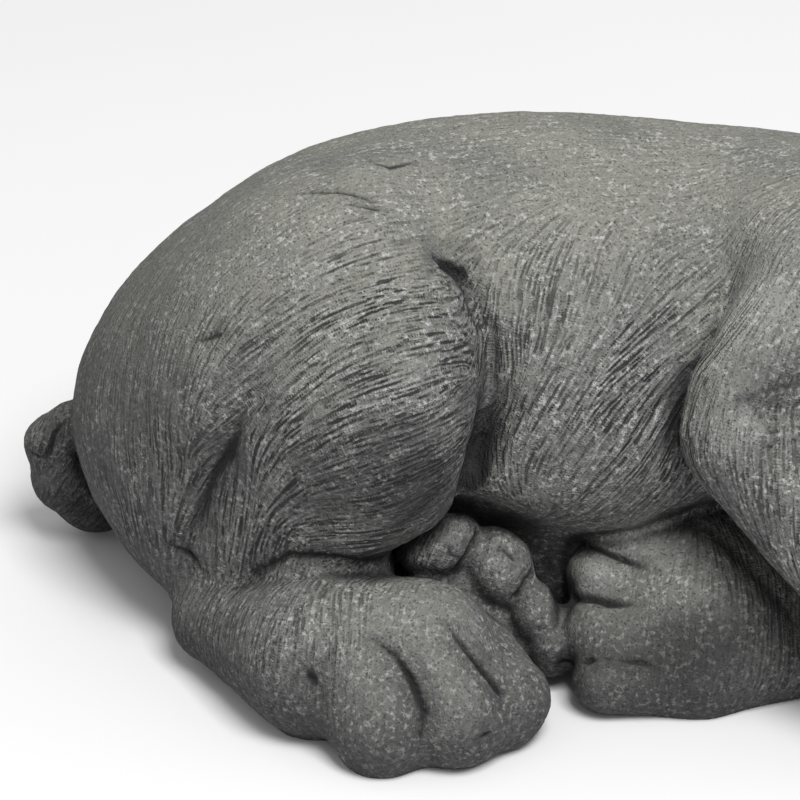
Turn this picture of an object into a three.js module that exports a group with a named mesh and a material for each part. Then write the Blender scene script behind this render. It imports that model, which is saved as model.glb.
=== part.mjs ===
// A sleeping dog for the garden, lying curled on the ground, cast in one piece of stone.
// Millimetres. X runs from the tail to the head, Y from the legs to the back, Z up from the ground.
// The origin is on the ground under the middle of the body.
//
// The form is built as a sculptor models clay: round masses, each blended softly into those before it,
// then hollows pressed in. Every mass gives its distance to a point, and the skin lies where it is zero.

import * as THREE from 'three';

// Driving dimensions
const LENGTH = 424;
const CELL = LENGTH / 120;
const SKIN_TRIANGLES = 9600;

// Points of the skin lower than this lie in the flat underside.
const FLAT = CELL / 8;

// Places and sizes of the masses are thousandths of the length, from the origin.
const SHARE = LENGTH / 1000;

// The space in which the skin is looked for, with room for it on every side.
const SPACE_LOW = [-560, -340, -40];
const SPACE_HIGH = [560, 340, 460];

// How wide one mass runs into the next, in thousandths of the length.
const CRISP = 7;
const FIRM = 12;
const SOFT = 26;
const BROAD = 46;

// When edges are merged, a face may turn by no more than the angle with this cosine, and a merged point
// is drawn to the middle of its edge by this share of its planes' weight.
const LEAST_COSINE = 0.3;
const HOLD_TO_MIDDLE = 1e-3;

// Beyond this distance from a mass its exact distance no longer matters.
const FAR = 200 * SHARE;

const stone = new THREE.MeshStandardMaterial({ color: 0x6f706c, roughness: 0.9, metalness: 0 });

// Turns in degrees: yaw about Z, pitch raises the front end, roll about the mass's own long axis.
function turned(yaw, pitch, roll) {
  const angle = THREE.MathUtils.degToRad;
  const euler = new THREE.Euler(angle(roll), angle(-pitch), angle(yaw), 'ZYX');
  return new THREE.Matrix4().makeRotationFromEuler(euler);
}

// An egg is an ellipsoid about its place; its distance is close near the surface.
function egg(place, radii, blend, turn = [0, 0, 0]) {
  const [cx, cy, cz] = place.map((value) => value * SHARE);
  const [rx, ry, rz] = radii.map((value) => value * SHARE);
  const m = turned(...turn).elements;
  const reach = Math.max(rx, ry, rz) + FAR;
  const distance = (px, py, pz) => {
    const x = px - cx;
    const y = py - cy;
    const z = pz - cz;
    if (x * x + y * y + z * z > reach * reach) return FAR;
    const u = (x * m[0] + y * m[1] + z * m[2]) / rx;
    const v = (x * m[4] + y * m[5] + z * m[6]) / ry;
    const w = (x * m[8] + y * m[9] + z * m[10]) / rz;
    const size = Math.sqrt(u * u + v * v + w * w);
    const slope = Math.sqrt((u / rx) ** 2 + (v / ry) ** 2 + (w / rz) ** 2);
    return (size * (size - 1)) / Math.max(slope, 1e-6);
  };
  return { distance, blend: blend * SHARE };
}

// A limb is a round bar from one place to another, thicker at one end.
function limb(start, end, startRadius, endRadius, blend) {
  const [ax, ay, az] = start.map((value) => value * SHARE);
  const [dx, dy, dz] = end.map((value, axis) => (value - start[axis]) * SHARE);
  const square = dx * dx + dy * dy + dz * dz;
  const thick = startRadius * SHARE;
  const growth = (endRadius - startRadius) * SHARE;
  const distance = (px, py, pz) => {
    const x = px - ax;
    const y = py - ay;
    const z = pz - az;
    const along = Math.min(Math.max((x * dx + y * dy + z * dz) / square, 0), 1);
    const qx = x - along * dx;
    const qy = y - along * dy;
    const qz = z - along * dz;
    return Math.sqrt(qx * qx + qy * qy + qz * qz) - thick - growth * along;
  };
  return { distance, blend: blend * SHARE };
}

// The lesser of two distances, rounded over where they meet.
function blended(a, b, blend) {
  const near = Math.max(blend - Math.abs(a - b), 0) / blend;
  return Math.min(a, b) - (near * near * near * blend) / 6;
}

// A join that widens from one place to another.
function widening(narrow, wide, from, to) {
  const [ax, ay, az] = from.map((value) => value * SHARE);
  const [dx, dy, dz] = to.map((value, axis) => (value - from[axis]) * SHARE);
  const square = dx * dx + dy * dy + dz * dz;
  return (px, py, pz) => {
    const raw = ((px - ax) * dx + (py - ay) * dy + (pz - az) * dz) / square;
    const t = Math.min(Math.max(raw, 0), 1);
    return (narrow + (wide - narrow) * t * t * (3 - 2 * t)) * SHARE;
  };
}

const everywhere = (width) => () => width * SHARE;
const add = (join, masses) => ({ join: typeof join === 'function' ? join : everywhere(join), masses });
const carve = (masses) => ({ masses, carved: true });

function torso() {
  return add(CRISP, [
    egg([-128, 83, 187], [324, 208, 212], CRISP, [0, 13, 0]),
    egg([52, 123, 262], [366, 127, 134], 33, [0, -6, 0]),
    egg([130, 90, 179], [208, 193, 198], BROAD),
    limb([-236, 74, 71], [189, 62, 71], 130, 120, BROAD),
    egg([-200, 170, 150], [120, 110, 130], 80),
    egg([190, 150, 170], [90, 110, 110], 60),
  ]);
}

// The hollow under the belly, in front of which the paws lie.
function lap() {
  return carve([
    limb([-165, -151, 92], [-60, -151, 80], 104, 96, 33),
    limb([-60, -151, 80], [40, -156, 57], 90, 94, 33),
    limb([40, -156, 57], [165, -142, 104], 94, 108, 33),
  ]);
}

function belly() {
  return add(33, [egg([-18, -17, 218], [112, 104, 104], CRISP, [0, 0, -30])]);
}

function neck() {
  return add(62, [limb([189, 71, 217], [297, 5, 165], 156, 108, CRISP)]);
}

// The flank falls away towards the thigh and the upper arm, which lie over it.
function hollows() {
  return carve([
    ...bar([[[-112, -74, 345], 18], [[-98, -110, 308], 32], [[-102, -128, 272], 35], [[-116, -136, 236], 36],
      [[-140, -138, 205], 34]], 20),
    ...bar([[[72, -118, 262], 24], [[72, -128, 215], 30]], 20),
  ]);
}

function nearHindLeg() {
  return add(widening(CRISP, 165, [-135, -70, 370], [-230, -30, 420]), [
    egg([-216, -47, 281], [125, 80, 127], CRISP, [-16, 0, -40]),
    egg([-180, -99, 266], [73, 66, 94], BROAD, [-14, 0, -30]),
    limb([-205, -66, 236], [-311, -54, 63], 100, 36, SOFT),
    limb([-172, -113, 204], [-305, -60, 63], 57, 34, SOFT),
    limb([-313, -57, 44], [-223, -132, 55], 42, 64, SOFT),
    limb([-238, -106, 112], [-198, -106, 108], 40, 28, SOFT),
  ]);
}

function nearHindFoot() {
  return add(9, [
    limb([-316, -79, 43], [-233, -155, 56], 42, 69, CRISP),
    limb([-231, -151, 58], [-149, -165, 62], 68, 64, SOFT),
    limb([-177, -184, 58], [-124, -193, 46], 52, 47, 28),
    limb([-204, -185, 65], [-180, -224, 30], 42, 42, SOFT),
    limb([-132, -175, 63], [-118, -220, 36], 42, 41, SOFT),
    limb([-99, -142, 50], [-76, -188, 36], 30, 35, SOFT),
    limb([-180, -214, 28], [-84, -196, 28], 36, 32, SOFT),
  ]);
}

// The other hind paw lies on its edge behind the foot, with its toes stacked up the belly.
function farHindPaw() {
  return add(CRISP, [
    limb([-131, -60, 110], [-60, -90, 30], 34, 26, CRISP),
    limb([-128, -96, 92], [-66, -106, 30], 30, 22, CRISP),
    egg([-131, -97, 125], [38, 29, 28], CRISP, [0, 25, 0]),
    egg([-83, -96, 104], [38, 30, 31], CRISP, [0, -62, 0]),
    egg([-52, -105, 64], [33, 24, 24], CRISP, [0, -75, 0]),
    egg([-38, -118, 36], [22, 22, 24], CRISP),
  ]);
}

function farForeleg() {
  return add(9, [
    limb([100, -80, 41], [295, -12, 61], 68, 71, CRISP),
    egg([92, -71, 56], [82, 92, 80], 24),
    limb([80, -46, 107], [28, -46, 105], 38, 32, SOFT),
    limb([80, -70, 84], [6, -75, 82], 40, 34, SOFT),
    limb([80, -106, 55], [4, -113, 55], 42, 36, SOFT),
    limb([84, -138, 28], [7, -149, 30], 38, 32, SOFT),
    limb([84, -136, 28], [190, -108, 34], 38, 40, SOFT),
  ]);
}

function nearForeleg() {
  return add(widening(CRISP, 142, [100, -80, 335], [150, -40, 410]), [
    egg([204, -20, 302], [92, 64, 106], CRISP, [0, 0, -40]),
    limb([173, -52, 326], [119, -108, 273], 64, 52, 33),
    limb([121, -118, 246], [232, -189, 130], 60, 54, FIRM),
    limb([232, -189, 130], [335, -236, 47], 52, 45, 24),
    egg([368, -250, 42], [66, 58, 46], 24, [-19, 0, 0]),
    ...toes([368, -250, 32], -19, 78, 26),
  ]);
}

// Four toes fanned out on the ground from the middle of a paw.
function toes([x, y, z], heading, length, radius) {
  const angle = THREE.MathUtils.degToRad;
  return [-33, -11, 11, 33].map((spread) => {
    const way = angle(heading + spread);
    const reach = length * (Math.abs(spread) > 20 ? 0.86 : 1);
    const tip = [x + reach * Math.cos(way), y + reach * Math.sin(way), z - 4];
    return limb([x, y, z], tip, radius, radius, 7);
  });
}

// Head places are along its own axes: forward, to its left, and up, from the middle of the skull.
const HEAD_PLACE = [337, -33, 142];
const HEAD_TURN = [-40, -6, 0];

function onHead(forward, left, up) {
  const own = new THREE.Vector3(forward, left, up).applyMatrix4(turned(...HEAD_TURN));
  return own.add(new THREE.Vector3(...HEAD_PLACE)).toArray();
}

function headEgg(place, radii, blend, turn = [0, 0, 0]) {
  return egg(onHead(...place), radii, blend, HEAD_TURN.map((value, axis) => value + turn[axis]));
}

function head() {
  const masses = [
    headEgg([0, 0, 0], [104, 100, 94], CRISP),
    headEgg([98, 0, -26], [78, 76, 56], 38),
    headEgg([170, 0, 4], [20, 34, 20], 8),
    headEgg([110, 0, -76], [62, 44, 24], 19),
  ];
  for (const side of [-1, 1]) {
    masses.push(
      headEgg([52, 42 * side, 38], [38, 35, 28], 19),
      headEgg([80, 49 * side, 24], [26, 25, 22], 7),
      headEgg([28, 68 * side, -33], [66, 38, 52], 24),
      headEgg([116, 40 * side, -48], [56, 38, 46], 14),
    );
  }
  return add(28, masses);
}

// The ears fold over at the top and hang down the cheeks.
function ears() {
  const masses = [-1, 1].flatMap((side) => [
    headEgg([-4, 88 * side, 60], [50, 28, 24], CRISP, [0, 8, -14 * side]),
    headEgg([2, 108 * side, 14], [52, 17, 66], SOFT, [-10 * side, 12, 10 * side]),
    headEgg([20, 117 * side, -46], [36, 14, 44], SOFT, [-10 * side, 24, 2 * side]),
  ]);
  return add(CRISP, masses);
}

// A bar that bends from place to place, with its radius at each place.
function bar(stops, blend) {
  return stops.slice(1).map(([place, radius], index) => {
    const [before, beforeRadius] = stops[index];
    return limb(before, place, beforeRadius, radius, blend);
  });
}

// Where the thigh parts from the rump, and where the skin folds over the elbow.
function folds() {
  return carve([
    ...bar([[[-263, -108, 342], 2], [[-294, -132, 281], 7], [[-317, -124, 207], 9],
      [[-339, -98, 129], 5]], 36),
    ...bar([[[108, -160, 296], 5], [[134, -160, 288], 9], [[170, -147, 284], 8],
      [[205, -128, 284], 4]], 14),
  ]);
}

// The gaps between the toes of the near hind foot and of the far front paw.
function toeGaps() {
  return carve([
    ...bar([[[-187, -214, 110], 4], [[-169, -228, 100], 8], [[-156, -237, 80], 9],
      [[-147, -246, 52], 8]], 14),
    ...bar([[[-122, -208, 110], 4], [[-111, -214, 94], 8], [[-98, -220, 76], 9], [[-86, -226, 56], 8]], 14),
    ...bar([[[-30, -68, 104], 9], [[10, -90, 117], 7], [[42, -102, 120], 4]], 12),
    ...bar([[[-32, -104, 74], 9], [[4, -128, 89], 7], [[33, -136, 94], 4]], 12),
    ...bar([[[-28, -146, 36], 8], [[0, -162, 48], 7], [[30, -172, 54], 4]], 12),
  ]);
}

// The closed eyes, the mouth and the furrow of the forehead.
function faceLines() {
  const stops = (places, radii) => places.map((place, index) => [onHead(...place), radii[index]]);
  const lines = bar(stops([[94, 0, 42], [84, 0, 66], [58, 0, 90]], [4, 7, 4]), 20);
  for (const side of [-1, 1]) {
    lines.push(
      ...bar(stops([[105, 30 * side, 22], [111, 48 * side, 12], [97, 70 * side, 19]], [5, 7, 5]), 10),
      ...bar(stops([[176, 0, -50], [162, 38 * side, -68], [114, 80 * side, -64]], [6, 7, 6]), 12),
    );
  }
  return carve(lines);
}

// The tail curls up behind the rump, from its root to its tip, with the radius at each place.
const TAIL = [
  [[-401, 146, 53], 38],
  [[-433, 132, 41], 38],
  [[-455, 118, 64], 33],
  [[-468, 108, 104], 24],
  [[-450, 99, 129], 20],
];

function tail() {
  return add(FIRM, bar(TAIL, 9));
}

const FORM = [
  torso(), neck(), lap(), belly(), hollows(), nearHindLeg(), nearHindFoot(), farHindPaw(), farForeleg(),
  nearForeleg(), folds(), toeGaps(), head(), ears(), faceLines(), tail(),
];

// Distance from a point to the skin of the whole form, less than zero inside it.
function distanceToSkin(x, y, z) {
  let whole = FAR;
  for (const group of FORM) {
    if (group.carved) {
      for (const mass of group.masses) {
        whole = -blended(-whole, mass.distance(x, y, z), mass.blend);
      }
    } else {
      let own = FAR;
      for (const mass of group.masses) {
        own = blended(own, mass.distance(x, y, z), mass.blend);
      }
      whole = blended(whole, own, group.join(x, y, z));
    }
  }
  return Math.max(whole, -z);
}

// The distance at each corner of a grid of cells that fills the space.
function sampleSpace() {
  const low = SPACE_LOW.map((value) => (Math.floor((value * SHARE) / CELL) + 0.5) * CELL);
  const count = SPACE_HIGH.map((value, axis) => Math.ceil((value * SHARE - low[axis]) / CELL) + 1);
  const values = new Float64Array(count[0] * count[1] * count[2]);
  let at = 0;
  for (let k = 0; k < count[2]; k += 1) {
    for (let j = 0; j < count[1]; j += 1) {
      for (let i = 0; i < count[0]; i += 1) {
        values[at] = distanceToSkin(low[0] + i * CELL, low[1] + j * CELL, low[2] + k * CELL);
        at += 1;
      }
    }
  }
  return { low, count, values };
}

// Each cell is parted into six corner-to-corner tetrahedra, and the skin is cut through each of them.
// Tetrahedra of neighbouring cells share whole faces, so the skin is closed everywhere.
function skinOf({ low, count, values }) {
  const step = [1, count[0], count[0] * count[1]];
  const orders = [[0, 1, 2], [1, 2, 0], [2, 0, 1], [0, 2, 1], [2, 1, 0], [1, 0, 2]];
  const points = [];
  const triangles = [];
  const known = new Map();

  function pointBetween(a, b) {
    const key = Math.min(a, b) * values.length + Math.max(a, b);
    if (!known.has(key)) {
      const t = values[a] / (values[a] - values[b]);
      for (let axis = 0; axis < 3; axis += 1) {
        const from = Math.floor(a / step[axis]) % count[axis];
        const to = Math.floor(b / step[axis]) % count[axis];
        points.push(low[axis] + (from + t * (to - from)) * CELL);
      }
      known.set(key, points.length / 3 - 1);
    }
    return known.get(key);
  }

  function cut(corners, even) {
    const inside = corners.filter((corner) => values[corner] < 0);
    if (inside.length === 0 || inside.length === 4) return;
    const outside = corners.filter((corner) => values[corner] >= 0);
    const order = [...inside, ...outside].map((corner) => corners.indexOf(corner));
    let swaps = 0;
    for (let a = 0; a < 4; a += 1) {
      for (let b = a + 1; b < 4; b += 1) {
        swaps += order[a] > order[b] ? 1 : 0;
      }
    }
    const flip = (swaps % 2 === 0) !== even;
    const face = (a, b, c) => triangles.push(a, flip ? c : b, flip ? b : c);
    if (inside.length === 1) {
      face(...outside.map((corner) => pointBetween(inside[0], corner)));
    } else if (inside.length === 3) {
      face(...inside.map((corner) => pointBetween(corner, outside[0])));
    } else {
      const [a, b] = inside;
      const [c, d] = outside;
      const ring = [pointBetween(a, c), pointBetween(a, d), pointBetween(b, d), pointBetween(b, c)];
      face(ring[0], ring[1], ring[2]);
      face(ring[0], ring[2], ring[3]);
    }
  }

  for (let k = 0; k < count[2] - 1; k += 1) {
    for (let j = 0; j < count[1] - 1; j += 1) {
      for (let i = 0; i < count[0] - 1; i += 1) {
        const corner = i * step[0] + j * step[1] + k * step[2];
        const far = corner + step[0] + step[1] + step[2];
        orders.forEach((order, index) => {
          const second = corner + step[order[0]];
          cut([corner, second, second + step[order[1]], far], index < 3);
        });
      }
    }
  }
  return { points, triangles };
}

// The outer skin alone, so that a pocket shut in between two masses is filled with stone.
function outerSkin({ points, triangles }) {
  const parent = Int32Array.from({ length: points.length / 3 }, (_, point) => point);
  const rootOf = (point) => {
    let at = point;
    while (parent[at] !== at) at = parent[at];
    parent[point] = at;
    return at;
  };
  triangles.forEach((point, corner) => {
    if (corner % 3 > 0) parent[rootOf(point)] = rootOf(triangles[corner - 1]);
  });
  const sizes = new Map();
  triangles.forEach((point) => sizes.set(rootOf(point), (sizes.get(rootOf(point)) ?? 0) + 1));
  const [outer] = [...sizes].reduce((best, entry) => (entry[1] > best[1] ? entry : best));
  return { points, triangles: triangles.filter((point) => rootOf(point) === outer) };
}

// Merges the two ends of an edge into one point, the flattest places first, until only the wanted number
// of triangles is left. Each point keeps the sum of the squared distances to the planes it has stood for.
function simplified({ points, triangles }, wanted) {
  const place = Float64Array.from(points);
  const corners = Int32Array.from(triangles);
  const pointCount = points.length / 3;
  const faces = Array.from({ length: pointCount }, () => []);
  const planes = new Float64Array(pointCount * 10);
  const version = new Int32Array(pointCount);
  const gone = new Uint8Array(corners.length / 3);
  const cost = [];
  const ends = [];
  const versions = [];
  const heap = [];
  const target = [0, 0, 0];

  function normalOf(face, moved, other, x, y, z) {
    const c = [];
    for (let i = 0; i < 3; i += 1) {
      const point = corners[face * 3 + i];
      if (point === moved || point === other) c.push(x, y, z);
      else c.push(place[point * 3], place[point * 3 + 1], place[point * 3 + 2]);
    }
    const [ax, ay, az] = [c[3] - c[0], c[4] - c[1], c[5] - c[2]];
    const [bx, by, bz] = [c[6] - c[0], c[7] - c[1], c[8] - c[2]];
    return [ay * bz - az * by, az * bx - ax * bz, ax * by - ay * bx];
  }

  function errorAt(a, b, x, y, z) {
    const q = (i) => planes[a * 10 + i] + planes[b * 10 + i];
    return q(0) * x * x + q(4) * y * y + q(7) * z * z + q(9)
      + 2 * (q(1) * x * y + q(2) * x * z + q(5) * y * z + q(3) * x + q(6) * y + q(8) * z);
  }

  // Leaves the best place for the merged point in target, and returns its error.
  function bestPlace(a, b) {
    const q = (i) => planes[a * 10 + i] + planes[b * 10 + i];
    const mx = (place[a * 3] + place[b * 3]) / 2;
    const my = (place[a * 3 + 1] + place[b * 3 + 1]) / 2;
    const mz = (place[a * 3 + 2] + place[b * 3 + 2]) / 2;
    const half = Math.hypot(place[a * 3] - mx, place[a * 3 + 1] - my, place[a * 3 + 2] - mz);
    const hold = (q(0) + q(4) + q(7)) * HOLD_TO_MIDDLE;
    const xx = q(0) + hold;
    const yy = q(4) + hold;
    const zz = q(7) + hold;
    const xy = q(1);
    const xz = q(2);
    const yz = q(5);
    const rx = hold * mx - q(3);
    const ry = hold * my - q(6);
    const rz = hold * mz - q(8);
    const cx = yy * zz - yz * yz;
    const cy = xz * yz - xy * zz;
    const cz = xy * yz - yy * xz;
    const whole = xx * cx + xy * cy + xz * cz;
    target[0] = (rx * cx + ry * cy + rz * cz) / whole;
    target[1] = (rx * cy + ry * (xx * zz - xz * xz) + rz * (xy * xz - xx * yz)) / whole;
    target[2] = (rx * cz + ry * (xy * xz - xx * yz) + rz * (xx * yy - xy * xy)) / whole;
    if (!(Math.hypot(target[0] - mx, target[1] - my, target[2] - mz) < 2 * half)) {
      target[0] = mx;
      target[1] = my;
      target[2] = mz;
    }
    return errorAt(a, b, target[0], target[1], target[2]) + hold * half * half * HOLD_TO_MIDDLE;
  }

  function rise(slot) {
    const item = heap[slot];
    while (slot > 0) {
      const parent = (slot - 1) >> 1;
      if (cost[heap[parent]] <= cost[item]) break;
      heap[slot] = heap[parent];
      slot = parent;
    }
    heap[slot] = item;
  }

  function takeCheapest() {
    const first = heap[0];
    const item = heap.pop();
    if (heap.length === 0) return first;
    let slot = 0;
    for (;;) {
      let child = slot * 2 + 1;
      if (child >= heap.length) break;
      if (child + 1 < heap.length && cost[heap[child + 1]] < cost[heap[child]]) child += 1;
      if (cost[heap[child]] >= cost[item]) break;
      heap[slot] = heap[child];
      slot = child;
    }
    heap[slot] = item;
    return first;
  }

  function offer(a, b) {
    cost.push(bestPlace(a, b));
    ends.push(a, b);
    versions.push(version[a] + version[b]);
    heap.push(cost.length - 1);
    rise(heap.length - 1);
  }

  function neighbours(point) {
    const found = [];
    for (const face of faces[point]) {
      for (let i = 0; i < 3; i += 1) {
        const other = corners[face * 3 + i];
        if (other !== point && !found.includes(other)) found.push(other);
      }
    }
    return found;
  }

  // A merge is sound where the edge has just its two faces and no face turns over.
  function sound(a, b) {
    const around = neighbours(b);
    if (neighbours(a).filter((point) => around.includes(point)).length !== 2) return false;
    for (const face of [...faces[a], ...faces[b]]) {
      const own = corners.subarray(face * 3, face * 3 + 3);
      if (own.includes(a) && own.includes(b)) continue;
      const [ax, ay, az] = normalOf(face, -1, -1, 0, 0, 0);
      const [bx, by, bz] = normalOf(face, a, b, ...target);
      const size = Math.hypot(ax, ay, az) * Math.hypot(bx, by, bz);
      if (ax * bx + ay * by + az * bz <= LEAST_COSINE * size) return false;
    }
    return true;
  }

  for (let face = 0; face < gone.length; face += 1) {
    const [nx, ny, nz] = normalOf(face, -1, -1, 0, 0, 0);
    const area = Math.hypot(nx, ny, nz) || 1;
    const [a, b, c] = [nx / area, ny / area, nz / area];
    const first = corners[face * 3] * 3;
    const d = -(a * place[first] + b * place[first + 1] + c * place[first + 2]);
    const plane = [a * a, a * b, a * c, a * d, b * b, b * c, b * d, c * c, c * d, d * d];
    for (let i = 0; i < 3; i += 1) {
      const point = corners[face * 3 + i];
      faces[point].push(face);
      for (let term = 0; term < 10; term += 1) planes[point * 10 + term] += plane[term] * area;
    }
  }
  for (let face = 0; face < gone.length; face += 1) {
    for (let i = 0; i < 3; i += 1) {
      const a = corners[face * 3 + i];
      const b = corners[face * 3 + ((i + 1) % 3)];
      if (a < b) offer(a, b);
    }
  }

  let left = gone.length;
  while (left > wanted && heap.length > 0) {
    const entry = takeCheapest();
    const a = ends[entry * 2];
    const b = ends[entry * 2 + 1];
    if (versions[entry] !== version[a] + version[b]) continue;
    if (faces[a].length === 0 || faces[b].length === 0) continue;
    bestPlace(a, b);
    if (!sound(a, b)) continue;
    place.set(target, a * 3);
    for (let term = 0; term < 10; term += 1) planes[a * 10 + term] += planes[b * 10 + term];
    for (const face of faces[b]) {
      const own = corners.subarray(face * 3, face * 3 + 3);
      if (own.includes(a)) {
        gone[face] = 1;
        left -= 1;
      } else {
        own[own.indexOf(b)] = a;
        faces[a].push(face);
      }
    }
    faces[b] = [];
    const around = neighbours(a);
    for (const point of around) faces[point] = faces[point].filter((face) => !gone[face]);
    faces[a] = faces[a].filter((face) => !gone[face]);
    version[a] += 1;
    version[b] += 1;
    for (const point of neighbours(a)) offer(a, point);
  }

  for (let point = 0; point < pointCount; point += 1) {
    if (place[point * 3 + 2] < FLAT) place[point * 3 + 2] = 0;
  }
  const renumbered = new Map();
  const kept = { points: [], triangles: [] };
  for (let corner = 0; corner < corners.length; corner += 1) {
    if (gone[Math.floor(corner / 3)]) continue;
    const point = corners[corner];
    if (!renumbered.has(point)) {
      renumbered.set(point, renumbered.size);
      kept.points.push(...place.subarray(point * 3, point * 3 + 3));
    }
    kept.triangles.push(renumbered.get(point));
  }
  return kept;
}

const skin = simplified(outerSkin(skinOf(sampleSpace())), SKIN_TRIANGLES);
const geometry = new THREE.BufferGeometry();
geometry.setAttribute('position', new THREE.Float32BufferAttribute(skin.points, 3));
geometry.setIndex(skin.triangles);
geometry.computeVertexNormals();

const dog = new THREE.Mesh(geometry, stone);
dog.name = 'sleeping_dog';

const group = new THREE.Group();
group.add(dog);

export default group;
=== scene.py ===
"""The look of a cast stone garden statue of a sleeping dog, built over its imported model."""

import math

import bpy
import numpy as np
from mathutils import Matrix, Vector


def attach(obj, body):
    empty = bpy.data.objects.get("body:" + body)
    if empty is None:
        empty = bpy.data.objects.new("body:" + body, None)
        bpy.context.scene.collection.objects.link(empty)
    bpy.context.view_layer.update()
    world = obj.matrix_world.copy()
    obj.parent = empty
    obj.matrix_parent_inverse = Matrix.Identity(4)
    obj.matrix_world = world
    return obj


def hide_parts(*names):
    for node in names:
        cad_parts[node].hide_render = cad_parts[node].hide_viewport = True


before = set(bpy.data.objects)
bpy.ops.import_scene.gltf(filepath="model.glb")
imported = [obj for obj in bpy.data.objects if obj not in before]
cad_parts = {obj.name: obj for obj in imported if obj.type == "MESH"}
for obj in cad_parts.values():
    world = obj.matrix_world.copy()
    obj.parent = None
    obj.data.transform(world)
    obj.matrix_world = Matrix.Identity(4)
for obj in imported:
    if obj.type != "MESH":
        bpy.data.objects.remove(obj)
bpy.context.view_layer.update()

# Places and sizes of the masses are thousandths of the statue's length, from the origin on the ground.
LENGTH = 0.424
SHARE = LENGTH / 1000
SPACE_LOW = (-560, -340, -40)
SPACE_HIGH = (560, 340, 460)

# How wide one mass runs into the next.
CRISP = 7
FIRM = 12
SOFT = 26
BROAD = 46

# The field is looked through in wide cells, then in narrow ones near the skin. All in metres.
WIDE_CELL = 0.0064
SPLIT = 4
CELL = WIDE_CELL / SPLIT
BAND = 1.25 * WIDE_CELL
BLOCK = 0.04
BLOCKS = 128
REACH = 0.022
FAR = 0.085
LEAST_SLOPE = 0.001

# The carved skin.
PIECE = "sleeping_dog_carved"
TRIANGLES = 194000
SINK = 0.0005
SETTLING_STEPS = 2
GROUND_FADE = 0.002
GROUND_SNAP = CELL / 8

# The strokes of the coat, and the patches in which they are deeper or shallower.
STROKE_WIDTH = 0.0026
STROKE_DEPTH = 0.00032
STROKE_STEP = 0.0022
STROKE_STEPS = 5
STROKE_CONTRAST = 2.6
COMB_CORE = 0.15
PATCH_WIDTH = 0.014
PATCH_MIDDLE = 0.85
PATCH_SWING = 0.5
PATCH_LEAST = 0.3
PATCH_MOST = 1.2

# The lumps and the grain of the skin: how deep and how wide they are, and their own seed for the noise.
LUMPS = ((0.0003, 0.011, 2), (0.00015, 0.0045, 3))
GRAIN = (0.00012, 0.0019, 4)

# A crease's core and the hollow beside it as shares of its depth, the hollow's width and reach in widths of
# the core, and how far above or below the skin a crease still cuts it.
CORE_SHARE = 0.6
HOLLOW_SHARE = 0.4
HOLLOW_WIDTH = 3
HOLLOW_REACH = 8
CREASE_HOLD = 0.006

# How near other stone shelters a point, for the painted shade in hollows, with the weight of each reach, how
# far a point has to rise for the full painted highlight and sink for the full painted shade, which way dust
# falls and the painted top light comes from, and how often the form's normals are smoothed.
SHELTER = ((0.003, 0.4), (0.008, 0.35), (0.018, 0.25))
FULL_RISE = 1.4 * STROKE_DEPTH
DUST_AND_TOP_LIGHT_WAY = (-0.3, -0.1, 0.95)
SMOOTHING = 8

# The finest strokes lie in the material.
FINE_WIDTH = 0.0011
FINE_STEP = 0.001
FINE_STEPS = 7
FINE_CONTRAST = 1.8

# Noise in the stone and on the floor: its scale, detail and roughness.
BROAD_NOISE = (22, 3, 0.5)
PATCH_NOISE = (75, 2, 0.5)
GRIT_NOISE = (420, 3, 0.65)
GRAIN_NOISE = (1150, 2, 0.6)
FLECK_NOISE = (520, 3, 0.6)
FLOOR_NOISE = (3, 2, 0.5)

# Colours of the stone, of what lies on it and in it, of the light and shade painted on it, and of the floor.
STONE_DARK = (0.06, 0.061, 0.062, 1)
STONE_LIGHT = (0.082, 0.082, 0.08, 1)
GRIT_COLOUR = (0.12, 0.12, 0.117, 1)
DUST_AND_TOP_LIGHT_COLOUR = (0.18, 0.18, 0.152, 1)
PAINTED_LIGHT_COLOUR = (0.2, 0.2, 0.19, 1)
RAISED_HIGHLIGHT_COLOUR = (0.17, 0.17, 0.167, 1)
RIDGE_HIGHLIGHT_COLOUR = (0.22, 0.22, 0.217, 1)
SHADE_COLOUR = (0.012, 0.012, 0.013, 1)
FLECK_COLOUR = (0.31, 0.31, 0.298, 1)
PIT_COLOUR = (0.02, 0.02, 0.021, 1)
FURROW_SHADE_COLOUR = (0.013, 0.013, 0.014, 1)
SUNK_SHADE_COLOUR = (0.018, 0.019, 0.02, 1)
OCCLUSION_SHADE_COLOUR = (0.008, 0.008, 0.009, 1)
CREASE_SHADE_COLOUR = (0.006, 0.006, 0.006, 1)
PAINTED_SHADE_COLOUR = (0.015, 0.015, 0.016, 1)
FLOOR_DARK = (0.56, 0.56, 0.56, 1)
FLOOR_LIGHT = (0.58, 0.58, 0.58, 1)
BUMP_DEPTH = 0.0007
BUMP_STRENGTH = 0.9
STONE_SHINE = 0.25
FLOOR_ROUGHNESS = 0.9

# The floor, the light and the camera, in metres, watts, millimetres of lens and degrees.
FLOOR_HALF = 6.0
KEY_PLACE = (0.45, -1.15, 2.3)
KEY_TARGET = (0, 0, 0.08)
KEY_SIZE = 1.1
KEY_POWER = 88
SKY_STRENGTH = 0.75
CAMERA_TARGET = (-0.07, -0.02, 0.1)
CAMERA_DISTANCE = 1.6
CAMERA_ELEVATION = 30
SENSOR_WIDTH = 36
LENS = 205.7


def axes_of(yaw, pitch, roll):
    """Columns are a mass's own axes. Yaw turns about Z, pitch raises the front, roll is about the length."""
    y, p, r = (math.radians(value) for value in (yaw, pitch, roll))
    about_z = np.array([[math.cos(y), -math.sin(y), 0], [math.sin(y), math.cos(y), 0], [0, 0, 1]])
    about_y = np.array([[math.cos(p), 0, -math.sin(p)], [0, 1, 0], [math.sin(p), 0, math.cos(p)]])
    about_x = np.array([[1, 0, 0], [0, math.cos(r), -math.sin(r)], [0, math.sin(r), math.cos(r)]])
    return about_z @ about_y @ about_x


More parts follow.
